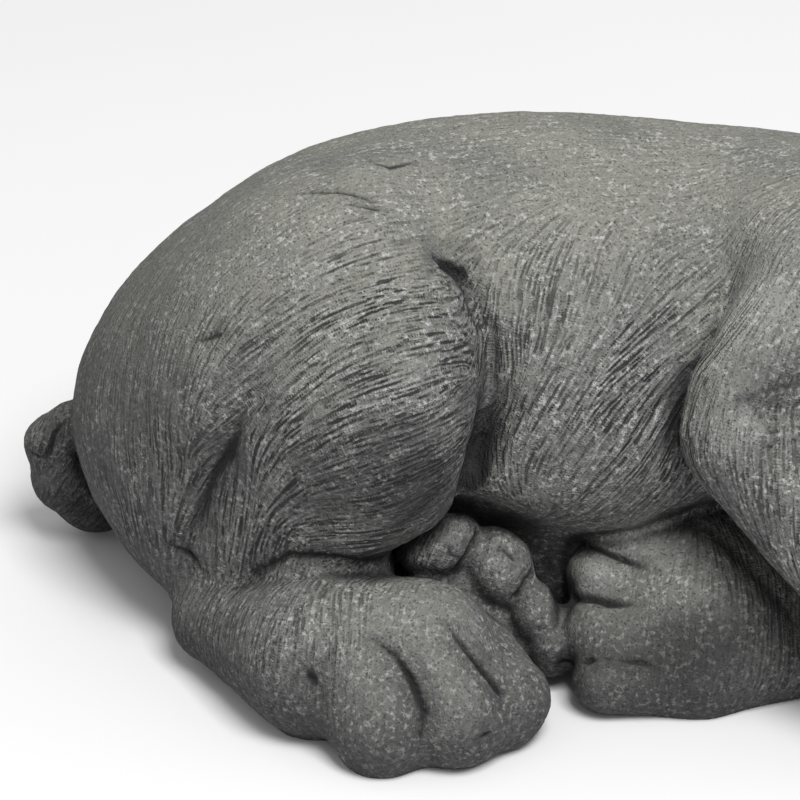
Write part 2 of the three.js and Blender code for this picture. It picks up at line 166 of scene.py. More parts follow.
def egg(place, radii, blend, turn=(0, 0, 0)):
    """An egg shape about a place, turned by yaw, pitch and roll."""
    middle = np.array(place, float) * SHARE
    size = np.array(radii, float) * SHARE
    axes = axes_of(*turn)

    def distance(points):
        q = ((points - middle) @ axes) / size
        length = np.sqrt((q * q).sum(1))
        q = q / size
        slope = np.sqrt((q * q).sum(1))
        return length * (length - 1) / np.maximum(slope, LEAST_SLOPE)

    return {"distance": distance, "blend": blend * SHARE, "middle": middle, "reach": size.max()}


def limb(start, end, start_radius, end_radius, blend):
    """A round limb between two places, which tapers from one radius to the other."""
    a = np.array(start, float) * SHARE
    run = np.array(end, float) * SHARE - a
    thick = start_radius * SHARE
    growth = (end_radius - start_radius) * SHARE

    def distance(points):
        q = points - a
        along = np.clip(q @ run / (run @ run), 0, 1)
        q = q - along[:, None] * run
        return np.sqrt((q * q).sum(1)) - thick - growth * along

    reach = np.linalg.norm(run) / 2 + max(start_radius, end_radius) * SHARE
    return {"distance": distance, "blend": blend * SHARE, "middle": a + run / 2, "reach": reach}


def bar(stops, blend):
    """A bar that bends from place to place, with its radius at each place."""
    return [limb(a, b, ra, rb, blend) for (a, ra), (b, rb) in zip(stops, stops[1:])]


def blended(a, b, blend):
    """The nearer of two distances, with a soft fillet as wide as blend where they meet."""
    near = np.maximum(blend - np.abs(a - b), 0) / blend
    return np.minimum(a, b) - near * near * near * blend / 6


def widening(narrow, wide, start, end):
    """A join whose fillet widens on the way from start to end."""
    a = np.array(start, float) * SHARE
    run = np.array(end, float) * SHARE - a

    def width(points):
        t = np.clip((points - a) @ run / (run @ run), 0, 1)
        return (narrow + (wide - narrow) * t * t * (3 - 2 * t)) * SHARE

    return {"width": width, "widest": max(narrow, wide) * SHARE}


def everywhere(value):
    return {"width": lambda points: value * SHARE, "widest": value * SHARE}


def add(join, masses):
    return {"join": join if isinstance(join, dict) else everywhere(join), "masses": masses}


def carve(masses):
    return {"join": everywhere(0), "masses": masses, "carved": True}


def torso():
    return add(CRISP, [
        egg([-128, 83, 187], [324, 208, 212], CRISP, [0, 13, 0]),
        egg([52, 123, 262], [366, 127, 134], 33, [0, -6, 0]),
        egg([130, 90, 179], [208, 193, 198], BROAD),
        limb([-236, 74, 71], [189, 62, 71], 130, 120, BROAD),
        egg([-200, 170, 150], [120, 110, 130], 80),
        egg([190, 150, 170], [90, 110, 110], 60),
    ])


def lap():
    return carve([
        limb([-165, -151, 92], [-60, -151, 80], 104, 96, 33),
        limb([-60, -151, 80], [40, -156, 57], 90, 94, 33),
        limb([40, -156, 57], [165, -142, 104], 94, 108, 33),
    ])


def belly():
    return add(33, [egg([-18, -17, 218], [112, 104, 104], CRISP, [0, 0, -30])])


def neck():
    return add(62, [limb([189, 71, 217], [297, 5, 165], 156, 108, CRISP)])


def hollows():
    return carve([
        *bar([([-112, -74, 345], 18), ([-98, -110, 308], 32), ([-102, -128, 272], 35),
              ([-116, -136, 236], 36), ([-140, -138, 205], 34)], 20),
        *bar([([72, -118, 262], 24), ([72, -128, 215], 30)], 20),
    ])


def near_hind_leg():
    return add(widening(CRISP, 165, [-135, -70, 370], [-230, -30, 420]), [
        egg([-216, -47, 281], [125, 80, 127], CRISP, [-16, 0, -40]),
        egg([-180, -99, 266], [73, 66, 94], BROAD, [-14, 0, -30]),
        limb([-205, -66, 236], [-311, -54, 63], 100, 36, SOFT),
        limb([-172, -113, 204], [-305, -60, 63], 57, 34, SOFT),
        limb([-313, -57, 44], [-223, -132, 55], 42, 64, SOFT),
        limb([-238, -106, 112], [-198, -106, 108], 40, 28, SOFT),
    ])


def near_hind_foot():
    return add(9, [
        limb([-316, -79, 43], [-233, -155, 56], 42, 69, CRISP),
        limb([-231, -151, 58], [-149, -165, 62], 68, 64, SOFT),
        limb([-177, -184, 58], [-124, -193, 46], 52, 47, 28),
        limb([-204, -185, 65], [-180, -224, 30], 42, 42, SOFT),
        limb([-132, -175, 63], [-118, -220, 36], 42, 41, SOFT),
        limb([-99, -142, 50], [-76, -188, 36], 30, 35, SOFT),
        limb([-180, -214, 28], [-84, -196, 28], 36, 32, SOFT),
    ])


def far_hind_paw():
    return add(CRISP, [
        limb([-131, -60, 110], [-60, -90, 30], 34, 26, CRISP),
        limb([-128, -96, 92], [-66, -106, 30], 30, 22, CRISP),
        egg([-131, -97, 125], [38, 29, 28], CRISP, [0, 25, 0]),
        egg([-83, -96, 104], [38, 30, 31], CRISP, [0, -62, 0]),
        egg([-52, -105, 64], [33, 24, 24], CRISP, [0, -75, 0]),
        egg([-38, -118, 36], [22, 22, 24], CRISP),
    ])


def far_foreleg():
    return add(9, [
        limb([100, -80, 41], [295, -12, 61], 68, 71, CRISP),
        egg([92, -71, 56], [82, 92, 80], 24),
        limb([80, -46, 107], [28, -46, 105], 38, 32, SOFT),
        limb([80, -70, 84], [6, -75, 82], 40, 34, SOFT),
        limb([80, -106, 55], [4, -113, 55], 42, 36, SOFT),
        limb([84, -138, 28], [7, -149, 30], 38, 32, SOFT),
        limb([84, -136, 28], [190, -108, 34], 38, 40, SOFT),
    ])


def toes(place, heading, length, radius):
    """Four toes that spread from a place about a heading. The outer two are shorter."""
    masses = []
    for spread, share in ((-33, 0.86), (-11, 1), (11, 1), (33, 0.86)):
        way = math.radians(heading + spread)
        reach = length * share
        tip = [place[0] + reach * math.cos(way), place[1] + reach * math.sin(way), place[2] - 4]
        masses.append(limb(place, tip, radius, radius, 7))
    return masses


def near_foreleg():
    return add(widening(CRISP, 142, [100, -80, 335], [150, -40, 410]), [
        egg([204, -20, 302], [92, 64, 106], CRISP, [0, 0, -40]),
        limb([173, -52, 326], [119, -108, 273], 64, 52, 33),
        limb([121, -118, 246], [232, -189, 130], 60, 54, FIRM),
        limb([232, -189, 130], [335, -236, 47], 52, 45, 24),
        egg([368, -250, 42], [66, 58, 46], 24, [-19, 0, 0]),
        *toes([368, -250, 32], -19, 78, 26),
    ])


HEAD_PLACE = np.array([337, -33, 142], float)
HEAD_TURN = (-40, -6, 0)


def on_head(place):
    return HEAD_PLACE + axes_of(*HEAD_TURN) @ np.array(place, float)


def head_egg(place, radii, blend, turn=(0, 0, 0)):
    return egg(on_head(place), radii, blend, [a + b for a, b in zip(HEAD_TURN, turn)])


def head():
    masses = [
        head_egg([0, 0, 0], [104, 100, 94], CRISP),
        head_egg([98, 0, -26], [78, 76, 56], 38),
        head_egg([170, 0, 4], [20, 34, 20], 8),
        head_egg([110, 0, -76], [62, 44, 24], 19),
    ]
    for side in (-1, 1):
        masses += [
            head_egg([52, 42 * side, 38], [38, 35, 28], 19),
            head_egg([80, 49 * side, 24], [26, 25, 22], 7),
            head_egg([28, 68 * side, -33], [66, 38, 52], 24),
            head_egg([116, 40 * side, -48], [56, 38, 46], 14),
        ]
    return add(28, masses)


def ears():
    return add(CRISP, [
        mass
        for side in (-1, 1)
        for mass in (
            head_egg([-4, 88 * side, 60], [50, 28, 24], CRISP, [0, 8, -14 * side]),
            head_egg([2, 108 * side, 14], [52, 17, 66], SOFT, [-10 * side, 12, 10 * side]),
            head_egg([20, 117 * side, -46], [36, 14, 44], SOFT, [-10 * side, 24, 2 * side]),
        )
    ])


def folds():
    return carve([
        *bar([([-263, -108, 342], 2), ([-294, -132, 281], 7), ([-317, -124, 207], 9),
              ([-339, -98, 129], 5)], 36),
        *bar([([108, -160, 296], 5), ([134, -160, 288], 9), ([170, -147, 284], 8),
              ([205, -128, 284], 4)], 14),
    ])


def face_lines():
    def stops(*places):
        return [(on_head(place), radius) for place, radius in places]

    lip = stops(([184, 0, -22], 5), ([172, 0, -50], 5))
    brow = stops(([94, 0, 42], 3), ([84, 0, 66], 6), ([58, 0, 90], 3))
    masses = [*bar(lip, 6), *bar(brow, 20)]
    for side in (-1, 1):
        eye = stops(([103, 31 * side, 22], 3), ([107, 48 * side, 13], 5), ([93, 69 * side, 19], 3))
        nostril = stops(([189, 11 * side, -4], 5), ([181, 25 * side, -8], 4))
        mouth = stops(([174, 0, -50], 5), ([158, 36 * side, -68], 6), ([112, 76 * side, -64], 5))
        masses += [*bar(eye, 6), *bar(nostril, 5), *bar(mouth, 8)]
    return carve(masses)


def tail():
    stops = [
        ([-401, 146, 53], 38),
        ([-433, 132, 41], 38),
        ([-455, 118, 64], 33),
        ([-468, 108, 104], 24),
        ([-450, 99, 129], 20),
    ]
    return add(FIRM, bar(stops, 9))


# The masses in the order in which they are joined and carved.
FORM = [
    torso(), neck(), lap(), belly(), hollows(), near_hind_leg(), near_hind_foot(), far_hind_paw(),
    far_foreleg(), near_foreleg(), folds(), head(), ears(), face_lines(), tail(),
]


def distance_in_block(points, middle, spread):
    """Distance to the skin of the whole form, from the masses near enough to matter."""
    whole = np.full(len(points), FAR)
    for group in FORM:
        near = []
        for mass in group["masses"]:
            gap = np.linalg.norm(mass["middle"] - middle) - mass["reach"] - spread
            if gap < REACH + mass["blend"] + group["join"]["widest"]:
                near.append(mass)
        if not near:
            continue
        if group.get("carved"):
            for mass in near:
                whole = -blended(-whole, mass["distance"](points), mass["blend"])
        else:
            own = np.full(len(points), FAR)
            for mass in near:
                own = blended(own, mass["distance"](points), mass["blend"])
            whole = blended(whole, own, group["join"]["width"](points))
    return np.maximum(whole, -points[:, 2])


def distance_to_skin(points):
    """Distance to the skin, worked out block by block. It is below zero inside the stone."""
    key = np.floor(points / BLOCK).astype(np.int64) + BLOCKS // 2
    key = (key[:, 0] * BLOCKS + key[:, 1]) * BLOCKS + key[:, 2]
    order = np.argsort(key, kind="stable")
    edges = np.flatnonzero(np.diff(key[order])) + 1
    result = np.empty(len(points))
    for rows in np.split(order, edges):
        part = points[rows]
        low, high = part.min(0), part.max(0)
        result[rows] = distance_in_block(part, (low + high) / 2, np.linalg.norm(high - low) / 2)
    return result


def sample_space():
    """The distance at each corner of the narrow cells, worked out only near the skin."""
    low = np.array([(math.floor(v * SHARE / WIDE_CELL) + 0.5) * WIDE_CELL for v in SPACE_LOW])
    count = [math.ceil((v * SHARE - low[axis]) / WIDE_CELL) + 1 for axis, v in enumerate(SPACE_HIGH)]
    grid = np.stack(np.meshgrid(*[np.arange(n) for n in count], indexing="ij"), -1).reshape(-1, 3)
    wide = distance_to_skin(low + grid * WIDE_CELL).reshape(count)
    near = np.zeros([n - 1 for n in count], bool)
    for i in (0, 1):
        for j in (0, 1):
            for k in (0, 1):
                corner = wide[i:count[0] - 1 + i, j:count[1] - 1 + j, k:count[2] - 1 + k]
                near |= np.abs(corner) < BAND
    fine_count = [(n - 1) * SPLIT + 1 for n in count]
    nearest = [np.minimum((np.arange(n) + SPLIT // 2) // SPLIT, c - 1) for n, c in zip(fine_count, count)]
    values = wide[np.ix_(*nearest)]
    wanted = np.zeros(fine_count, bool)
    cells = np.argwhere(near) * SPLIT
    for i in range(SPLIT + 1):
        for j in range(SPLIT + 1):
            for k in range(SPLIT + 1):
                wanted[cells[:, 0] + i, cells[:, 1] + j, cells[:, 2] + k] = True
    fine = np.argwhere(wanted)
    values[wanted] = distance_to_skin(low + fine * CELL)
    return values, low


def skin_of(values, low):
    """Points and four-sided faces of the skin: one point in each cell that it passes through."""
    inside = values < 0
    n = [size - 1 for size in values.shape]
    corners = [(i, j, k) for i in (0, 1) for j in (0, 1) for k in (0, 1)]
    count = np.zeros(n, np.int8)
    for i, j, k in corners:
        count += inside[i:n[0] + i, j:n[1] + j, k:n[2] + k]
    cells = np.argwhere((count > 0) & (count < 8))
    number = -np.ones(n, np.int32)
    number[tuple(cells.T)] = np.arange(len(cells))
    at = {c: values[tuple((cells + c).T)] for c in corners}
    total = np.zeros((len(cells), 3))
    hits = np.zeros(len(cells))
    for a in corners:
        for axis in range(3):
            if a[axis]:
                continue
            b = tuple(1 if i == axis else a[i] for i in range(3))
            crossed = (at[a] < 0) != (at[b] < 0)
            t = np.where(crossed, at[a] / np.where(crossed, at[a] - at[b], 1), 0)
            place = np.tile(np.array(a, float), (len(cells), 1))
            place[:, axis] = t
            total += np.where(crossed[:, None], place, 0)
            hits += crossed
    points = low + (cells + total / hits[:, None]) * CELL
    faces = []
    for axis in range(3):
        first = [slice(1, -1)] * 3
        first[axis] = slice(0, values.shape[axis] - 1)
        second = list(first)
        second[axis] = slice(1, values.shape[axis])
        a, b = inside[tuple(first)], inside[tuple(second)]
        where = np.argwhere(a != b)
        base = where + [0 if i == axis else 1 for i in range(3)]
        u, w = [(1, 2), (2, 0), (0, 1)][axis]
        du = np.eye(3, dtype=int)[u]
        dw = np.eye(3, dtype=int)[w]
        ring = np.stack([number[tuple((base - back).T)] for back in (du + dw, dw, 0, du)], 1)
        inward = ~a[tuple(where.T)]
        ring[inward] = ring[inward][:, ::-1]
        faces.append(ring)
    return points, np.concatenate(faces)


def largest_part(points, faces):
    """The outer skin alone. Points take the lowest number among their neighbours until none changes."""
    label = np.arange(len(points))
    while True:
        before = label.copy()
        lowest = label[faces].min(1)
        for side in range(4):
            np.minimum.at(label, faces[:, side], lowest)
        label = label[label]
        if (label == before).all():
            break
    kept = np.bincount(label).argmax()
    faces = faces[label[faces[:, 0]] == kept]
    used, faces = np.unique(faces, return_inverse=True)
    return points[used], faces.reshape(-1, 4)


def split_faces(points, faces):
    """Each four-sided face becomes four."""
    sides = np.concatenate([faces[:, [i, (i + 1) % 4]] for i in range(4)])
    low, high = sides.min(1), sides.max(1)
    key = low.astype(np.int64) * len(points) + high
    known, inverse = np.unique(key, return_inverse=True)
    edge_points = (points[known // len(points)] + points[known % len(points)]) / 2
    middle_points = points[faces].mean(1)
    edge = inverse.reshape(4, -1).T + len(points)
    middle = np.arange(len(faces)) + len(points) + len(known)
    quarters = [np.stack([faces[:, i], edge[:, i], middle, edge[:, i - 1]], 1) for i in range(4)]
    return np.concatenate([points, edge_points, middle_points]), np.concatenate(quarters)


def normals_of(points, faces):
    """The way out of the skin at each point."""
    across = np.cross(points[faces[:, 2]] - points[faces[:, 0]], points[faces[:, 3]] - points[faces[:, 1]])
    total = np.zeros_like(points)
    for axis in range(3):
        for corner in range(4):
            total[:, axis] += np.bincount(faces[:, corner], across[:, axis], len(points))
    return total / np.maximum(np.linalg.norm(total, axis=1, keepdims=True), 1e-12)


# Random values at the corners of a lattice, which repeats. Its size is a power of two.
LATTICE_SEED = 11
LATTICE_SIZE = 64
LATTICE = np.random.default_rng(LATTICE_SEED).uniform(-1, 1, (LATTICE_SIZE,) * 3).astype(np.float32)
SEED_SHIFT = 17.31
NOISE_SHIFT = 1000


def noise(points, width, seed=0):
    """Soft noise from -1 to 1 whose lumps are about as wide as width."""
    q = points / width + seed * SEED_SHIFT + NOISE_SHIFT
    whole = np.floor(q).astype(np.int32)
    t = (q - whole).astype(np.float32)
    t = t * t * (3 - 2 * t)
    last = LATTICE_SIZE - 1
    result = np.zeros(len(points), np.float32)
    for i in (0, 1):
        for j in (0, 1):
            for k in (0, 1):
                share = (t[:, 0] if i else 1 - t[:, 0]) * (t[:, 1] if j else 1 - t[:, 1])
                share = share * (t[:, 2] if k else 1 - t[:, 2])
                value = LATTICE[(whole[:, 0] + i) & last, (whole[:, 1] + j) & last, (whole[:, 2] + k) & last]
                result += share * value
    return result


# How the coat is combed: a place, the direction in degrees as seen from the photograph's side, counted
# from the tail-to-head direction towards up, how deeply it is cut there, and how far that holds.
COMB = [
    ([-420, 40, 180], 84, 0.45, 60),
    ([-370, -20, 150], 72, 0.9, 45),
    ([-345, -60, 190], 66, 0.9, 40),
    ([-340, -40, 290], 60, 0.5, 60),
    ([-300, 0, 370], 40, 0.2, 70),
    ([-130, -110, 320], 16, 1.0, 45),
    ([-190, -100, 350], 20, 1.0, 45),
    ([-250, -100, 300], 32, 0.8, 45),
    ([-170, -140, 270], 14, 1.0, 45),
    ([-220, -140, 250], 32, 1.0, 40),
    ([-130, -140, 230], 4, 1.0, 40),
    ([-180, -140, 215], 24, 1.0, 40),
    ([-250, -130, 210], 50, 1.0, 35),
    ([-300, -110, 150], 60, 1.0, 35),
    ([-210, -130, 175], 20, 0.9, 35),
    ([-330, -80, 80], 70, 0.45, 35),
    ([-260, -150, 110], 84, 0.55, 35),
    ([-210, -190, 100], 92, 0.5, 35),
    ([-150, -190, 110], 86, 0.25, 40),
    ([-160, -240, 50], 84, 0.1, 50),
    ([-110, -230, 50], 80, 0.1, 50),
    ([-113, -62, 385], 35, 0.9, 16),
    ([-95, -60, 375], 118, 0.9, 16),
    ([-80, -70, 350], 100, 0.9, 20),
    ([-80, -82, 300], 94, 0.7, 28),
    ([-124, -100, 340], 6, 1.0, 16),
    ([-112, -118, 305], -6, 1.0, 16),
    ([-110, -126, 270], -10, 1.0, 16),
    ([-116, -136, 238], -10, 1.0, 16),
    ([-50, -80, 340], 80, 0.7, 45),
    ([0, -60, 390], 78, 0.5, 60),
    ([-30, -110, 290], 60, 0.8, 45),
    ([20, -110, 290], 36, 1.1, 40),
    ([50, -100, 320], 28, 1.2, 40),
    ([80, -80, 350], 32, 0.9, 35),
    ([30, -110, 240], 55, 1.0, 40),
    ([60, -100, 220], 72, 0.9, 35),
    ([-20, -110, 210], 62, 0.7, 45),
    ([-90, -110, 190], 104, 0.8, 40),
    ([-40, -112, 192], 85, 0.15, 24),
    ([120, -60, 400], 76, 0.4, 50),
    ([150, -90, 360], 62, 0.3, 45),
    ([110, -140, 310], 74, 0.25, 35),
    ([130, -150, 240], 90, 0.55, 45),
    ([160, -160, 190], 88, 0.85, 45),
    ([110, -110, 150], 95, 0.6, 34),
    ([240, -190, 130], 96, 0.8, 60),
    ([330, -235, 60], 100, 0.5, 50),
    ([20, -120, 90], 88, 0.1, 60),
    ([-60, -100, 90], 60, 0.1, 50),
    ([-150, 100, 420], 18, 0.2, 110),
    ([50, 100, 410], 15, 0.2, 110),
    ([-440, 120, 80], 60, 0.6, 50),
]


def comb(points, normals):
    """The way of the coat along the skin at each point, and how deeply it is cut."""
    way = np.zeros_like(points)
    depth = np.zeros(len(points))
    total = np.zeros(len(points))
    slant = math.radians(CAMERA_ELEVATION)
    up = np.array([0, math.sin(slant), math.cos(slant)])
    for place, angle, strength, spread in COMB:
        gap = (points - np.array(place) * SHARE) / (spread * SHARE)
        share = 1 / (COMB_CORE + (gap * gap).sum(1)) ** 2
        turn = math.radians(angle)
        way += share[:, None] * (np.array([math.cos(turn), 0, 0]) + math.sin(turn) * up)
        depth += share * strength
        total += share
    way -= (way * normals).sum(1)[:, None] * normals
    way /= np.maximum(np.linalg.norm(way, axis=1, keepdims=True), 1e-9)
    return way, depth / total


def strokes(points, way):
    """Long thin furrows along the way of the coat, from about -1 to 1."""
    total = np.zeros(len(points))
    for step in range(-STROKE_STEPS, STROKE_STEPS + 1):
        total += noise(points + way * (step * STROKE_STEP), STROKE_WIDTH)
    return np.tanh(total / math.sqrt(2 * STROKE_STEPS + 1) * STROKE_CONTRAST)


def lumps(points):
    """The uneven form between the strokes."""
    return sum(depth * noise(points, width, seed) for depth, width, seed in LUMPS)


# Creases pressed into the skin: half the width of the core, the depth, and the places that it runs through
# with its strength at each.
# The material also paints shade in the cores of these creases.
CREASES = [
    # Between the toes of the near hind foot
    (4, 9, [([-190, -206, 112], 0), ([-187, -211, 108], 0.4), ([-169, -220, 98], 0.7), ([-156, -229, 80], 1),
            ([-146, -239, 55], 1), ([-148, -250, 42], 0.6), ([-150, -254, 32], 0)]),
    (4, 9, [([-128, -196, 112], 0.2), ([-118, -203, 102], 0.7), ([-99, -213, 76], 1), ([-87, -218, 60], 1),
            ([-83, -221, 50], 0)]),
    # Between the toes of the far front paw
    (3.6, 8, [([-14, -62, 106], 1), ([-5, -74, 109], 1), ([20, -95, 112], 0.9), ([50, -118, 113], 0)]),
    (5.2, 9, [([-32, -98, 76], 1), ([8, -123, 86], 1), ([24, -128, 90], 0.5), ([38, -133, 92], 0)]),
    (3.2, 7, [([-31, -136, 33], 1), ([-4, -154, 44], 1), ([7, -158, 50], 0.7), ([36, -167, 57], 1),
              ([43, -170, 51], 0.4)]),
    # The pocket of the flank and the front edge of the thigh
    (6, 11, [([-140, -37, 371], 0.2), ([-127, -43, 364], 1), ([-118, -46, 358], 0.9),
             ([-110, -56, 346], 0.3)]),
    (4, 6, [([-112, -54, 348], 0.6), ([-105, -68, 332], 0.6), ([-101, -84, 308], 0)]),
    # Two wrinkles over the hip, a pit and a scar on the rump
    (2.2, 3.2, [([-262, 10, 396], 0), ([-222, -2, 407], 1), ([-186, -11, 403], 0.6), ([-176, -13, 402], 0)]),
    (2.2, 3.2, [([-212, -18, 404], 0), ([-189, -19, 401], 1), ([-166, -16, 395], 0)]),
    (4, 3, [([-329, -78, 309], 0.5), ([-312, -86, 320], 1)]),
    (4, 1.6, [([-198, 50, 408], 0), ([-173, 43, 407], 1), ([-149, 62, 404], 0.5)]),
    # Where the thigh parts from the rump
    (6, 7, [([-288, -112, 292], 0), ([-296, -116, 252], 0.5), ([-305, -110, 220], 1),
            ([-319, -99, 190], 0.9), ([-330, -90, 151], 0.6), ([-343, -80, 116], 0.3)]),
    # The heel, the bend between shank and foot, and the hollows of the foot's outer side
    (4, 6, [([-358, -70, 108], 0.4), ([-343, -80, 104], 1), ([-330, -88, 90], 0.2)]),
    (5, 6, [([-310, -108, 90], 0), ([-280, -126, 120], 0.8), ([-257, -136, 139], 1), ([-214, -136, 142], 0.7),
            ([-176, -122, 127], 0.3)]),
    (6, 7, [([-244, -218, 90], 0), ([-237, -224, 76], 1), ([-229, -229, 64], 0)]),
    (3, 6, [([-102, -257, 39], 0.4), ([-93, -252, 40], 1), ([-86, -247, 42], 0)]),
    # Between the toes of the far hind paw, and the folds over its claws
    (3.4, 7, [([-99, -100, 144], 0.8), ([-104, -115, 137], 1), ([-112, -121, 125], 1),
              ([-120, -121, 112], 0.8)]),
    (3.4, 7, [([-51, -98, 106], 0.8), ([-59, -116, 102], 1), ([-69, -121, 89], 1)]),
    (2.4, 4, [([-87, -114, 130], 0.2), ([-80, -113, 133], 0.9), ([-70, -116, 123], 0.8)]),
    (2.4, 4, [([-126, -121, 141], 0.2), ([-123, -124, 132], 0.9), ([-114, -122, 127], 0.7)]),
    # The flank beside the thigh, the thigh's lower edge and the wrist under the elbow: wide creases whose
    # dark cores paint the shade under the thigh and the elbow
    (13, 9, [([-106, -90, 320], 0.1), ([-102, -98, 280], 0.3), ([-101, -104, 240], 0.6),
             ([-103, -111, 207], 0.75), ([-112, -120, 190], 0.6)]),
    (13, 6, [([-112, -134, 240], 0.1), ([-125, -148, 220], 0.45), ([-141, -163, 203], 0.6),
             ([-160, -166, 186], 0.6), ([-190, -160, 170], 0.2)]),
    (13, 5, [([60, -80, 142], 0.3), ([90, -88, 136], 0.6), ([115, -115, 122], 0.6),
             ([140, -127, 99], 0.6), ([162, -133, 73], 0.5)]),
    # The curl of the tail's tip
    (3.4, 7, [([-456, 83, 138], 0.5), ([-465, 84, 126], 1), ([-468, 84, 108], 1), ([-474, 84, 98], 0.7),
              ([-486, 90, 102], 0.6)]),
    (12, 4, [([-452, 85, 60], 0.5), ([-440, 92, 42], 0.6), ([-420, 100, 30], 0.5)]),
    # The folds over the elbow
    (11, 7, [([92, -156, 280], 0), ([106, -153, 294], 0.4), ([125, -149, 302], 0.55),
             ([142, -145, 304], 0.6), ([160, -140, 303], 0.5), ([200, -127, 298], 0)]),
    (4, 7, [([108, -160, 262], 0), ([131, -158, 256], 1), ([165, -148, 250], 0.7), ([190, -135, 246], 0)]),
]


# Patches of painted light, above zero, and of painted shade, below it: a place, how far it spreads
# and how much.
LIGHT_AND_SHADE_PATCHES = [
    ([-146, -163, 222], 36, -0.9),
    ([-181, -172, 250], 50, -0.4),
    ([-221, -169, 235], 50, -0.35),
    ([0, -153, 49], 30, -0.4),
    ([61, -162, 60], 46, -0.7),
    ([110, -158, 70], 46, -0.5),
    ([34, -79, 130], 30, 0.9),
    ([-2, -107, 100], 22, 0.7),
    ([66, -114, 124], 30, 0.5),
    ([-85, -112, 122], 16, 0.4),
    ([100, -85, 335], 36, 0.7),
    ([98, -160, 274], 34, 0.7),
    ([140, -90, 372], 60, 0.45),
]


def painted_light_and_shade(points):
    """How much painted light, up to 1, or painted shade, down to -1, each point gets."""
    total = np.zeros(len(points))
    for place, spread, amount in LIGHT_AND_SHADE_PATCHES:
        gap = (points - np.array(place) * SHARE) / (spread * SHARE)
        total += amount * np.exp(-(gap * gap).sum(1))
    return np.clip(total, -1, 1)


def creased(points, normals):
    """How deep the creases are at each point, and how near it is to the middle of one, from 0 to 1."""
    depth = np.zeros(len(points))
    middle = np.zeros(len(points))
    for width, deep, stops in CREASES:
        for (start, weak), (end, strong) in zip(stops, stops[1:]):
            a = np.array(start) * SHARE
            run = np.array(end) * SHARE - a
            reach = np.linalg.norm(run) / 2 + HOLLOW_REACH * width * SHARE
            near = np.flatnonzero(((points - a - run / 2) ** 2).sum(1) < reach * reach)
            q = points[near] - a
            along = np.clip(q @ run / (run @ run), 0, 1)
            q = q - along[:, None] * run
            off = (q * normals[near]).sum(1)
            side = np.sqrt(np.maximum((q * q).sum(1) - off * off, 0)) / (width * SHARE)
            hold = (weak + (strong - weak) * along) * np.clip(2 - np.abs(off) / CREASE_HOLD, 0, 1)
            core = np.clip(1 - side, 0, 1)
            hollow = np.exp(-(side / HOLLOW_WIDTH) ** 2)
            cut = hold * (CORE_SHARE * core + HOLLOW_SHARE * hollow) * deep * SHARE
            depth[near] = np.maximum(depth[near], cut)
            middle[near] = np.maximum(middle[near], hold * core)
    return depth, middle


def relief(points, normals):
    """How far each point of the skin rises, in metres, under the chisel and the weather."""
    way, depth = comb(points, normals)
    patches = np.clip(PATCH_MIDDLE + PATCH_SWING * noise(points, PATCH_WIDTH, 1), PATCH_LEAST, PATCH_MOST)
    height = STROKE_DEPTH * depth * patches * strokes(points, way)
    grain_depth, grain_width, seed = GRAIN
    height += grain_depth * noise(points, grain_width, seed)
    return height + lumps(points) - creased(points, normals)[0]


def carved_skin():
    """Points and faces of the whole skin: settled onto the form, then carved."""
    points, faces = skin_of(*sample_space())
    points, faces = largest_part(points, faces)
    points, faces = split_faces(points, faces)
    for _ in range(SETTLING_STEPS):
        normals = normals_of(points, faces)
        points = points - normals * np.clip(distance_to_skin(points), -CELL / 2, CELL / 2)[:, None]
    normals = normals_of(points, faces)
    above = np.clip(points[:, 2] / GROUND_FADE, 0, 1)
    points = points + normals * ((relief(points, normals) - SINK) * above)[:, None]
    points[points[:, 2] < GROUND_SNAP, 2] = 0
    return points, faces


def mesh_from(name, points, faces):
    mesh = bpy.data.meshes.new(name)
    mesh.vertices.add(len(points))
    mesh.vertices.foreach_set("co", points.astype(np.float32).ravel())
    mesh.loops.add(faces.size)
    mesh.loops.foreach_set("vertex_index", faces.astype(np.int32).ravel())
    mesh.polygons.add(len(faces))
    mesh.polygons.foreach_set("loop_start", np.arange(0, faces.size, 4, dtype=np.int32))
    mesh.update(calc_edges=True)
    return mesh


def points_of(mesh):
    points = np.empty(len(mesh.vertices) * 3, np.float32)
    mesh.vertices.foreach_get("co", points)
    return points.reshape(-1, 3).astype(float)


def thinned(mesh, triangles):
    """The same skin with fewer triangles, most of them where it is carved."""
    obj = bpy.data.objects.new(mesh.name, mesh)
    bpy.context.scene.collection.objects.link(obj)
    modifier = obj.modifiers.new("thin", "DECIMATE")
    modifier.ratio = triangles / (2 * len(mesh.polygons))
    evaluated = obj.evaluated_get(bpy.context.evaluated_depsgraph_get())
    result = bpy.data.meshes.new_from_object(evaluated)
    points = points_of(result)
    points[:, 2] = np.maximum(points[:, 2], 0)
    result.vertices.foreach_set("co", points.astype(np.float32).ravel())
    result.update()
    bpy.data.objects.remove(obj)
    bpy.data.meshes.remove(mesh)
    return result


def smoothed(normals, mesh):
    """The normals of the form under its fine relief."""
    edges = np.empty(len(mesh.edges) * 2, np.int32)
    mesh.edges.foreach_get("vertices", edges)
    a, b = edges.reshape(-1, 2).T
    count = len(normals)
    for _ in range(SMOOTHING):
        total = normals.copy()
        for axis in range(3):
            one_way = np.bincount(a, normals[b, axis], count)
            total[:, axis] += one_way + np.bincount(b, normals[a, axis], count)
        normals = total / np.maximum(np.linalg.norm(total, axis=1, keepdims=True), 1e-9)
    return normals


